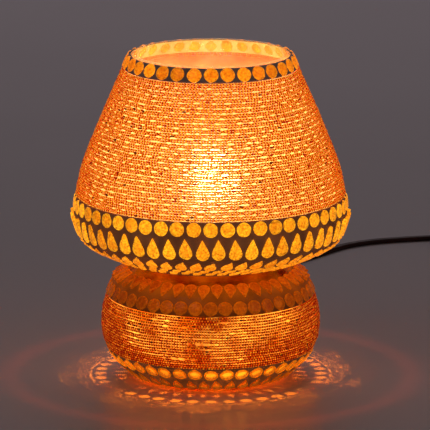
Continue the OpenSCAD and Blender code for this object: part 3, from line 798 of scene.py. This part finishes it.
def stone_mesh(stones):
    """All the stones of a row in one mesh: tapered edge, ground bevel and a slightly domed, uneven face."""
    n = len(ANGLES)
    verts, rims = [], []
    for s in stones:
        own = np.random.default_rng(s["seed"])
        point, across, down, normal = on_glass(s["t"], s["phi"], 0.0)
        rings, rim = [], []
        for inset, z, edge in STONE_RINGS:
            rings.append((np.maximum(s["r"] - inset, 0.2), np.full(n, z)))
            rim.append(np.full(n, edge))
        for share, z in STONE_TOPS:
            rings.append((s["r"] * share, z + own.normal(0, ROUGH_FACE, n)))
            rim.append(np.zeros(n))
        turned = ANGLES + s["turn"]
        local = [np.stack([r * np.sin(turned), r * np.cos(turned), z], -1) for r, z in rings]
        local = np.vstack([*local, [[0, 0, FACE_Z], [0, 0, BED_Z]]])
        slope = local[:, 0] * s["tilt"][0] + local[:, 1] * s["tilt"][1]
        local[:, 2] += s["lift"] + slope * (local[:, 2] > 1)
        world = point + local[:, :1] * across + local[:, 1:2] * down + local[:, 2:] * normal
        verts.append(world)
        rims.append(np.concatenate([*rim, [0, 0]]))
    rows = len(STONE_RINGS) + len(STONE_TOPS)
    size = rows * n + 2
    k = np.arange(n)
    quads = grid_faces(rows, n)[:, ::-1]
    top = np.stack([np.full(n, rows * n), (rows - 1) * n + k, (rows - 1) * n + (k + 1) % n], -1)
    base = np.stack([np.full(n, rows * n + 1), (k + 1) % n, k], -1)
    offset = (np.arange(len(stones)) * size)[:, None, None]
    triangles = np.vstack([top, base])
    faces = [(quads[None] + offset).reshape(-1, 4), (triangles[None] + offset).reshape(-1, 3)]
    return np.vstack(verts), faces, np.concatenate(rims)


def signed_volume(verts, faces):
    """Six times the volume within the faces, above 0 if they look outwards."""
    total = 0.0
    for f in faces:
        a = verts[f[:, 0]]
        for i in range(1, f.shape[1] - 1):
            total += np.einsum("ij,ij->i", a, np.cross(verts[f[:, i]], verts[f[:, i + 1]])).sum()
    return total


def outward(verts, faces):
    return faces if signed_volume(verts, faces) > 0 else [f[:, ::-1] for f in faces]


def add_stones(name, stones, material, node):
    verts, faces, rim = stone_mesh(stones)
    faces = outward(verts, faces)
    piece = mesh_piece(name, verts, faces, [material], attributes={"rim": rim})
    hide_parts(node)


GROUT_TOP, GROUT_BED = 1.6, 0.03  # heights of its faces above the glass
GROUT_THIN = 0.06
GROUT_CELL = 0.62
GROUT_EDGE, EDGE_SHARE = 0.9, 0.25  # width over which a band falls to its edge, and height left there
WIPED, WAVE, GRAIN = 0.18, 0.07, 0.012  # depth it is wiped to between stones, and its unevenness
CLIMB, CLIMB_WIDTH = 0.30, 0.55  # how it is drawn up at a stone
UNDER_EDGE, HOLE_EDGE = 0.25, 0.45  # how far within a stone's edge it is low, and then left out
STONE_REACH = 10  # no stone is longer than this from its middle


def smooth_noise(phi, t):
    """Cheap smooth noise over a band, from a few waves round and along it."""
    seeds = [
        (int(rng.integers(5, 60)), rng.uniform(0.6, 2.4), rng.uniform(0, TAU), rng.uniform(0, TAU))
        for _ in range(14)
    ]
    out = np.zeros(np.broadcast(phi, t).shape)
    for k, m, a, b in seeds:
        out += np.sin(k * phi + a) * np.sin(m * t / 2.0 + b)
    return out / math.sqrt(len(seeds))


def grout_relief(phi, t, stones):
    """Height of the grout over the grid, and which of its points lie under a stone."""
    height = GROUT_TOP - WIPED + WAVE * smooth_noise(phi, t)
    height += rng.normal(0, GRAIN, height.shape)
    covered = np.zeros(height.shape, bool)
    for s in stones:
        x = ((phi - s["phi"] + math.pi) % TAU - math.pi) * glass_radius(s["t"])
        y = t - s["t"]
        i, j = np.nonzero((np.abs(x) < STONE_REACH) & (np.abs(y) < STONE_REACH))
        xx, yy = x[0, j], y[i, 0]
        angle = (np.arctan2(xx, yy) - s["turn"]) % TAU
        edge = np.interp(angle, np.append(ANGLES, TAU), np.append(s["r"], s["r"][0]))
        gap = np.hypot(xx, yy) - edge
        climb = CLIMB * np.exp(-((np.maximum(gap, 0) / CLIMB_WIDTH) ** 2))
        covered[i, j] |= gap < -HOLE_EDGE
        drawn_up = np.maximum(height[i, j], GROUT_TOP - 0.2 + climb)
        pressed = np.minimum(height[i, j], GROUT_TOP - 0.25)
        height[i, j] = np.where(gap > -UNDER_EDGE, drawn_up, pressed)
    return height, covered


def add_grout(name, band, stones, material, node):
    """Grout as it is wiped: low between wide gaps, drawn up against each stone, open behind the stones."""
    lo, hi = band
    widest = max(glass_radius(t) for t in np.linspace(lo, hi, 9))
    cols, rows = int(TAU * widest / GROUT_CELL), max(8, int((hi - lo) / GROUT_CELL) + 1)
    phi = np.linspace(0, TAU, cols, endpoint=False)[None, :]
    t = np.linspace(lo, hi, rows)[:, None]
    height, covered = grout_relief(phi, t, stones)
    taper = np.clip(np.minimum(t - lo, hi - t) / GROUT_EDGE, 0, 1) ** 0.5
    height = GROUT_THIN + (height - GROUT_THIN) * (EDGE_SHARE + (1 - EDGE_SHARE) * taper)
    outer = on_glass(t, phi, height)[0].reshape(-1, 3)
    inner = on_glass(t, phi, np.full(height.shape, GROUT_BED))[0].reshape(-1, 3)
    verts = np.vstack([outer, inner])
    n = rows * cols
    below, right = np.roll(covered, -1, 0), np.roll(covered, -1, 1)
    hole = (covered & below & right & np.roll(below, -1, 1))[:-1]
    keep = ~hole
    quad = grid_faces(rows, cols).reshape(rows - 1, cols, 4)

    def wall(cells, a, b):
        """Faces between the two skins along one edge, from corner a to corner b, of each of the cells."""
        return np.stack([n + cells[:, a], n + cells[:, b], cells[:, b], cells[:, a]], -1)

    outside = [quad[keep], wall(quad[0][keep[0]], 3, 0), wall(quad[-1][keep[-1]], 1, 2)]
    behind = [
        quad[keep][:, ::-1] + n,
        wall(quad[keep & np.roll(hole, -1, 1)], 2, 3),
        wall(quad[keep & np.roll(hole, 1, 1)], 0, 1),
        wall(quad[:-1][keep[:-1] & hole[1:]], 1, 2),
        wall(quad[1:][keep[1:] & hole[:-1]], 3, 0),
    ]
    faces = np.vstack(outside + behind)
    is_behind = np.arange(len(faces)) >= sum(len(f) for f in outside)
    used = np.unique(faces)
    new_index = np.zeros(len(verts), int)
    new_index[used] = np.arange(len(used))
    verts, faces = verts[used], outward(verts[used], [new_index[faces]])
    piece = mesh_piece(name, verts, faces, [material, MATS["adhesive"]], is_behind.astype(int))
    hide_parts(node)


# distance along the outline of each row's middle and of each band's two edges; (length, width) of its stones
LIP_ROW = 0.6 + DISC_D / 2
LIP_BAND = (0.3, LIP_ROW + DISC_D / 2 + 0.3)
SKIRT_ROW, SKIRT_DROP = 96.7, (13.4, 7.9)
SKIRT_DROP_ROW = SKIRT_ROW + DISC_D / 2 + GAP + SKIRT_DROP[0] / 2
SKIRT_BAND = (SKIRT_ROW - DISC_D / 2 - 0.4, SKIRT_DROP_ROW + SKIRT_DROP[0] / 2 + 0.3)
SHADE_BAND = (LIP_BAND[1] + 0.2, SKIRT_BAND[0] - 0.25)
UNDER_DROP = (10.4, 7.0)
UNDER_ROW = SKIRT_BAND[1] + GAP + UNDER_DROP[0] / 2
DIAMOND = (9.0, 5.2)
DIAMOND_OUT = UNDER_ROW + UNDER_DROP[0] / 2 + 4.9
DIAMOND_IN = DIAMOND_OUT + 6.2
UNDER_BAND = (SKIRT_BAND[1] + 0.05, DIAMOND_IN + DIAMOND[0] / 2 + 5)
WAIST_T = 162.658  # where the waist ends
SHOULDER_DROP = (11.4, 7.2)
SHOULDER_DROP_ROW = WAIST_T - 0.6 + SHOULDER_DROP[0] / 2
SHOULDER_ROW = SHOULDER_DROP_ROW + SHOULDER_DROP[0] / 2 + GAP / 2 + DISC_D / 2
SHOULDER_BAND = (WAIST_T - 0.9, SHOULDER_ROW + DISC_D / 2 + 0.3)
FOOT_ROW, FOOT_DROP = 219.6, (11.6, 6.6)
FOOT_DROP_ROW = FOOT_ROW + DISC_D / 2 + GAP + FOOT_DROP[0] / 2
FOOT_BAND = (FOOT_ROW - DISC_D / 2 - 0.4, FOOT_DROP_ROW + FOOT_DROP[0] / 2 + 0.4)
BASE_BAND = (SHOULDER_BAND[1] + 0.2, FOOT_BAND[0] - 0.2)
UP, DOWN = math.pi, 0.0  # the way a drop's point looks, from the way down the glass


def drop_centre(size, heading):
    """How far a drop's round end lies from the middle of its length, along the glass."""
    return (size[0] - size[1]) / 2 * (-1 if heading == DOWN else 1)


rows = {
    "lip_discs": stone_row(LIP_ROW, 32, disc_outline, jitter=0.7),
    "skirt_discs": stone_row(SKIRT_ROW, 52, disc_outline, jitter=0.55),
    "skirt_drops": stone_row(
        SKIRT_DROP_ROW, 52, drop_outline(*SKIRT_DROP), 0.5, UP, drop_centre(SKIRT_DROP, UP)
    ),
    "underside_drops": stone_row(
        UNDER_ROW, 52, drop_outline(*UNDER_DROP), 0.0, UP, drop_centre(UNDER_DROP, UP), lean=-0.38
    ),
    "underside_diamonds_outer": stone_row(DIAMOND_OUT, 52, diamond_outline(*DIAMOND), 0.5, 0.0, lean=-0.75),
    "underside_diamonds_inner": stone_row(DIAMOND_IN, 52, diamond_outline(*DIAMOND), 0.0, 0.0, lean=-0.75),
    "shoulder_drops": stone_row(
        SHOULDER_DROP_ROW, 43, drop_outline(*SHOULDER_DROP), 0.5, DOWN, drop_centre(SHOULDER_DROP, DOWN)
    ),
    "shoulder_discs": stone_row(SHOULDER_ROW, 43, disc_outline, jitter=0.5),
    "foot_discs": stone_row(FOOT_ROW, 40, disc_outline, jitter=0.5),
    "foot_drops": stone_row(
        FOOT_DROP_ROW, 40, drop_outline(*FOOT_DROP), 0.5, UP, drop_centre(FOOT_DROP, UP)
    ),
}
for node, stones in rows.items():
    add_stones("mosaic_" + node, stones, MATS[node if node in MATS else node.split("_")[0]], node)

underside = rows["underside_drops"] + rows["underside_diamonds_outer"] + rows["underside_diamonds_inner"]
shoulder = rows["shoulder_drops"] + rows["shoulder_discs"]
skirt = rows["skirt_discs"] + rows["skirt_drops"]
add_grout("grout_lip", LIP_BAND, rows["lip_discs"], MATS["grout_rim"], "lip_grout")
add_grout("grout_skirt", SKIRT_BAND, skirt, MATS["grout"], "skirt_grout")
add_grout("grout_underside", UNDER_BAND, underside, MATS["grout"], "underside_grout")
add_grout("grout_shoulder", SHOULDER_BAND, shoulder, MATS["grout_lacquered"], "shoulder_grout")
add_grout("grout_foot", FOOT_BAND, rows["foot_discs"] + rows["foot_drops"], MATS["grout"], "foot_grout")

# ---------------------------------------------------------------- seed beads
BEAD_SIDES = 8
BEAD_R, BEAD_END_R = 0.74, 0.40
# share of its length, radius
BEAD_PROFILE = [(-0.5, BEAD_END_R), (-0.26, BEAD_R), (0.26, BEAD_R), (0.5, BEAD_END_R)]
BEAD_FILL = 0.985  # share of its room along the strand that a bead takes
BEAD_SEAT = 0.72  # height of its middle above the glass
# spread of the beads: length and width as shares, place and height in mm, tilt and spin in radians
LENGTH_SPREAD, WIDTH_SPREAD, LINE_SPREAD, HEIGHT_SPREAD = 0.055, 0.035, 0.045, 0.04
TILT_SPREAD, SPIN_SPREAD = 0.04, 0.08
BEADS_IN_PIECE = 3300
RIM, MID, CORE = 0, 1, 2  # a bead's parts, as bead_batch lists them
BEND_PAIRS = 6  # pairs over which the rows take up another bend
HOLE_Z, HOLE_CLEAR = 33.0, 8.3  # the cord's hole, and how close to its axis the beads come


def bead_prototype():
    """One bead: corners, side faces, end faces, and the part of the bead that each side face belongs to.

    A corner is measured along the strand, as a share of the bead's length, then sideways and off the glass.
    """
    a = (np.arange(BEAD_SIDES) - 0.5) * TAU / BEAD_SIDES
    verts = np.array([(x, r * math.sin(k), r * math.cos(k)) for x, r in BEAD_PROFILE for k in a])
    quads = grid_faces(len(BEAD_PROFILE), BEAD_SIDES)
    last = (len(BEAD_PROFILE) - 1) * BEAD_SIDES
    caps = np.array([list(range(BEAD_SIDES))[::-1], list(range(last, last + BEAD_SIDES))])
    if signed_volume(verts, [quads]) < 0:
        quads, caps = quads[:, ::-1], caps[:, ::-1]
    if signed_volume(verts, [caps]) < 0:
        caps = caps[:, ::-1]
    band, side = np.divmod(np.arange(len(quads)), BEAD_SIDES)
    side = np.minimum(side, BEAD_SIDES - side)
    # the outward face of the middle band takes the painted highlight, the ends the dimmest painted light
    part = np.where(band != 1, RIM, np.where(side == 0, CORE, MID))
    return verts, quads, caps, part


def waves(phi, steps, count, size=1.0):
    """Smooth random line round the axis, from waves with whole numbers of periods between the two steps."""
    periods = rng.integers(*steps, count)
    total = sum(rng.normal(0, size) * np.sin(k * phi + rng.uniform(0, TAU)) for k in periods)
    return total * math.sqrt(2 / count)


def strand_rows(band, pairs, slit):
    """Centre lines of the strands and the room of each.

    The strands lie in pairs, which touch in places and leave short slits of bare glass in others.
    """
    phi = np.linspace(0, TAU, 2880, endpoint=False)
    pitch = (band[1] - band[0]) / pairs
    bend_count = pairs // BEND_PAIRS + 2
    bends = [waves(phi, (1, 6), 4, 0.30) + waves(phi, (6, 18), 4, 0.12) for _ in range(bend_count)]
    slits = [slit(phi) for _ in range(pairs + 1)]
    slits[0] = slits[-1] = 0 * phi
    lines = []
    for i in range(pairs):
        k, share = divmod(i / BEND_PAIRS, 1)
        bend = bends[int(k)] * (1 - share) + bends[int(k) + 1] * share
        ease = min(1.0, 0.3 + i / 3, 0.3 + (pairs - 1 - i) / 3)
        centre = band[0] + pitch * (i + 0.5) + ease * bend
        up, down = pitch / 4 - slits[i] / 2, pitch / 4 - slits[i + 1] / 2
        lines.append((centre - up, up + down))
        lines.append((centre + down, up + down))
    return phi, lines


def shade_slit(phi):
    """Width of the slits between two pairs on the shade: many and short."""
    return 0.64 * np.clip(-0.18 + 1.1 * waves(phi, (28, 84), 14) + 0.1 * waves(phi, (3, 12), 3), 0, 1.0)


def base_slit(phi):
    """The same on the base: few, and in groups."""
    return 0.62 * np.clip(-1.0 + 0.75 * waves(phi, (24, 70), 12) + 0.8 * waves(phi, (4, 14), 4), 0, 1.6)


def bead_places(band, pairs, bead_length, slit):
    """For each bead: distance along the outline, angle, length, its strand's slope, extra height, width."""
    phi, lines = strand_rows(band, pairs, slit)

    def around(values):
        return np.interp(where, np.append(phi, TAU), np.append(values, values[0]))

    places = []
    for line, room in lines:
        proud = np.clip(rng.normal(0.10, 0.10) + waves(phi, (2, 14), 4, 0.09), -0.02, 0.45)
        r = glass_radius(float(line.mean()))
        lengths = rng.normal(bead_length, LENGTH_SPREAD * bead_length, int(TAU * r / bead_length))
        lengths = np.clip(lengths, 0.78 * bead_length, 1.25 * bead_length)
        lengths *= TAU * r / lengths.sum()
        where = (np.cumsum(lengths) - lengths / 2) / r
        slope = np.interp(where, phi, np.gradient(line, phi)) / r
        width = np.clip(around(room) / (2 * BEAD_R), 0.78, 1.0)
        place = [around(line), where + math.pi / 2, lengths * BEAD_FILL, slope, around(proud), width]
        places.append(np.stack(place, -1))
    return np.vstack(places)


def add_beads(name, band, pairs, bead_length, slit, batches, node):
    """The beads of a band, each set a little crooked, in pieces of about BEADS_IN_PIECE beads."""
    t, phi, length, slope, proud, width = bead_places(band, pairs, bead_length, slit).T
    t = t + rng.normal(0, LINE_SPREAD, len(t))
    size = width * np.clip(rng.normal(1.0, WIDTH_SPREAD, len(t)), 0.88, 1.1)
    off = BEAD_SEAT + proud + rng.normal(0, HEIGHT_SPREAD, len(t))
    point, across, down, normal = on_glass(t, phi, off)
    keep = (point[:, 1] < 0) | (np.hypot(point[:, 0], point[:, 2] - HOLE_Z) > HOLE_CLEAR)
    point, across, down, normal = point[keep], across[keep], down[keep], normal[keep]
    size, length, slope = size[keep], length[keep], slope[keep]
    count = len(point)
    tilt_a, tilt_b = rng.normal(0, TILT_SPREAD, (2, count))
    along = across + down * (slope + tilt_a)[:, None] + normal * tilt_b[:, None]
    along /= np.linalg.norm(along, axis=1)[:, None]
    up = normal - along * np.einsum("ij,ij->i", normal, along)[:, None]
    up /= np.linalg.norm(up, axis=1)[:, None]
    side = np.cross(up, along)
    spin = rng.normal(0, SPIN_SPREAD, count)
    c, s = np.cos(spin)[:, None], np.sin(spin)[:, None]
    side, up = side * c + up * s, up * c - side * s
    verts, quads, caps, face_part = bead_prototype()
    axes = np.stack([along * length[:, None], side * size[:, None], up * size[:, None]], 1)
    corners = point[:, None] + verts @ axes
    shares = np.array([share for share, _ in batches])
    kind = rng.choice(len(batches), count, p=shares / shares.sum())
    materials = [material for _, parts in batches for material in parts]
    for i, part in enumerate(np.array_split(np.arange(count), math.ceil(count / BEADS_IN_PIECE))):
        offset = (np.arange(len(part)) * len(verts))[:, None, None]
        faces = [(quads + offset).reshape(-1, 4), (caps + offset).reshape(-1, BEAD_SIDES)]
        rim = kind[part] * 3 + RIM
        which = np.concatenate([(rim[:, None] + face_part).ravel(), np.repeat(rim, len(caps))])
        points = corners[part].reshape(-1, 3)
        piece = mesh_piece(f"{name}_{i + 1}", points, faces, materials, which)
        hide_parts(node)


add_beads("shade_beads", SHADE_BAND, 27, 1.82, shade_slit, SHADE_BEADS, "shade_bead_strands")
add_beads("base_beads", BASE_BAND, 10, 1.64, base_slit, BASE_BEADS, "base_bead_strands")

# ---------------------------------------------------------------- carried-over CAD nodes
def bulb_material():
    """Clear envelope filled with the filament's light."""
    t = Tree("bulb_glass")
    warmth = t.ramp(t.noise(30), (0.3, (1.0, 0.66, 0.26)), (0.7, (1.0, 0.72, 0.32)))
    clear = t.shade("BsdfTransparent", {"Color": (1, 0.98, 0.94, 1)})
    glow = t.shade("Emission", {"Color": warmth, "Strength": 3.8})
    body = t.shade("MixShader", {0: 0.18, 1: clear, 2: glow})
    shine = t.shade("BsdfGlossy", {"Roughness": 0.04})
    return t.surface(t.shade("MixShader", {0: t.shade("Fresnel", {"IOR": 1.45}), 1: body, 2: shine}))


def filament_material():
    t = Tree("filament")
    t.set(
        Base_Color=(0.3, 0.28, 0.26, 1),
        Emission_Color=t.ramp(t.noise(400), (0.3, (1.0, 0.62, 0.25)), (0.7, (1.0, 0.75, 0.42))),
        Emission_Strength=30.0,
    )
    return t.mat


SLOT_MATERIALS = {
    "body_glass": MATS["glass"],
    "stem_glass": glass_material("stem_glass", STEM_ZONES),
    "bulb_glass": bulb_material(),
    "filament": filament_material(),
    "zinc_steel": metal("zinc_steel", (0.62, 0.62, 0.60), 0.34),
    "brass": metal("brass_nut", (0.78, 0.56, 0.24), 0.28),
    "nickel": metal("nickel_shell", (0.70, 0.68, 0.62), 0.22),
    "rubber": plastic("rubber", (0.018, 0.018, 0.019), 0.62),
    "holder_plastic": plastic("holder_plastic", (0.025, 0.024, 0.023), 0.38),
    "insulator": plastic("insulator", (0.72, 0.70, 0.64), 0.42),
    "black_glass": plastic("black_glass", (0.012, 0.012, 0.013), 0.12, coat=0.6),
    "cord_pvc": cord_mat.mat,
    "tie_plastic": plastic("tie_plastic", (0.03, 0.03, 0.032), 0.4),
    "switch_plastic": plastic("switch_plastic", (0.022, 0.018, 0.017), 0.4),
    "rocker_plastic": plastic("rocker_plastic", (0.03, 0.025, 0.023), 0.3),
}
BEVELLED = {
    "holder_cap", "holder_skirt", "switch_bottom", "switch_top", "switch_rocker", "plug_body", "coil_tie",
    "cord_clamp",
}
BEVEL_WIDTH, BEVEL_ANGLE = 0.0003, math.radians(40)  # metres; edges sharper than the angle are rounded
node_slot = {sub["node"]: sub["material_slot"] for sub in frame["record"]["subparts"]}
for name, node in NODES.items():
    look = SLOT_MATERIALS.get(node_slot.get(name))
    if look is None:
        continue
    node.data.materials.clear()
    node.data.materials.append(look)
    if name in BEVELLED:
        bevel = node.modifiers.new("edge", "BEVEL")
        bevel.width, bevel.segments, bevel.limit_method = BEVEL_WIDTH, 2, "ANGLE"
        bevel.angle_limit = BEVEL_ANGLE
